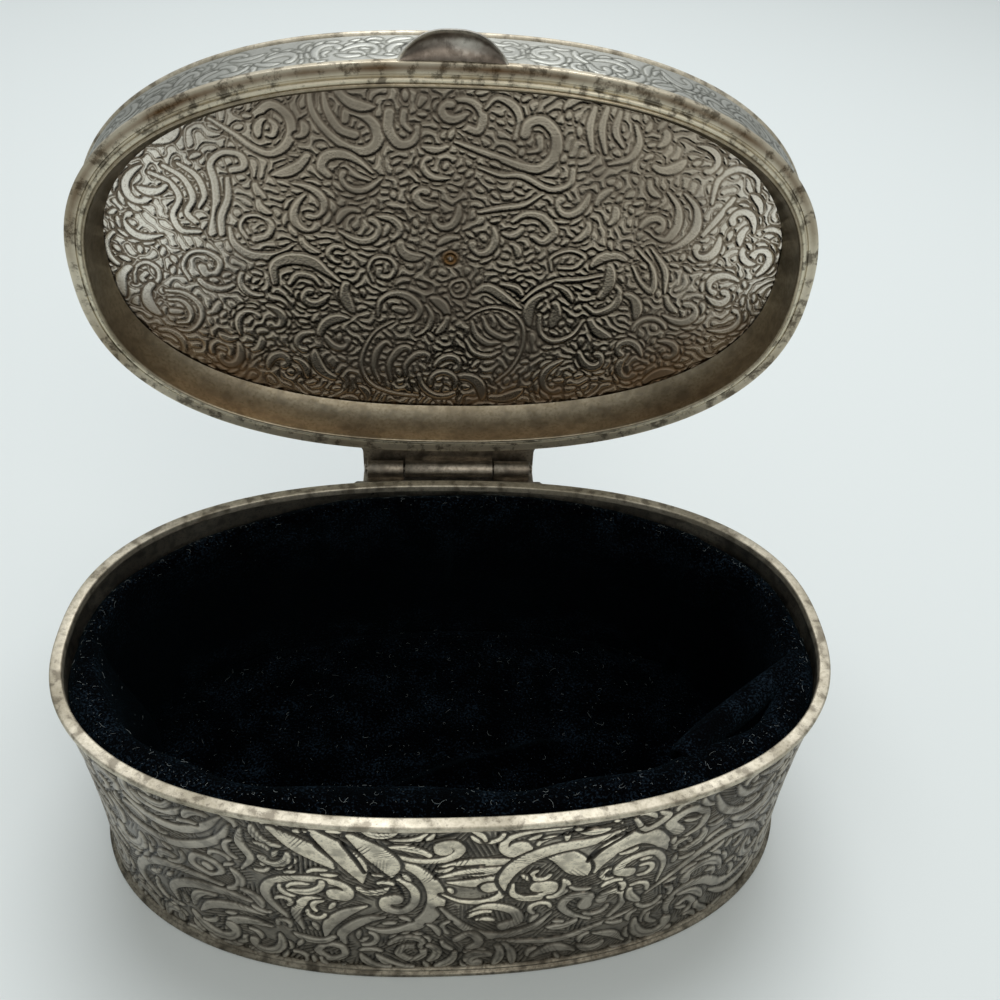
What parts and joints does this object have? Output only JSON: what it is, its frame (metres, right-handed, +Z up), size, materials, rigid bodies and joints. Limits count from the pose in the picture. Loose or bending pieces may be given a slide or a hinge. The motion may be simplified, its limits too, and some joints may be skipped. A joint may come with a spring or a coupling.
{
  "type": "trinket box",
  "caption": "Oval silver-plated trinket box with engraved sides, an embossed hinged lid with a thumb tab, and a velvet lining.",
  "frame": {"origin": "centre of the base's underside, on the table", "axes": "+X along the oval's length, -Y towards the front, +Z up; the lid stands a quarter turn open"},
  "size_m": [0.1312, 0.0962, 0.1292],
  "materials": {
    "bright_silver": "silver plate, worn bright",
    "engraved_silver": "silver plate, engraved and oxidised",
    "olive_silver": "silver plate, olive tarnish",
    "brown_silver": "silver plate, brown tarnish",
    "velvet": "navy velvet",
    "card": "plain card"
  },
  "bodies": {
    "box_body": {"side_wall": "engraved_silver", "body_rim": "bright_silver", "foot_moulding": "engraved_silver", "base_plate": "engraved_silver", "floor_card": "card", "floor_pad": "velvet", "side_lining": "velvet", "body_hinge_leaf": "brown_silver", "hinge_pin": "brown_silver"},
    "lid": {"lid_rim": "olive_silver", "lid_collar": "olive_silver", "lid_side_band": "engraved_silver", "lid_edge_wire": "bright_silver", "lid_top": "engraved_silver", "lid_inner_panel": "engraved_silver", "lid_hinge_leaf": "brown_silver", "thumb_tab": "bright_silver"}
  },
  "joints": [
    {"name": "lid_hinge", "type": "hinge", "parent": "box_body", "child": "lid", "pos_m": [0, 0.0412, 0.04665], "axis": [1, 0, 0], "range_deg": [0, 90]}
  ]
}
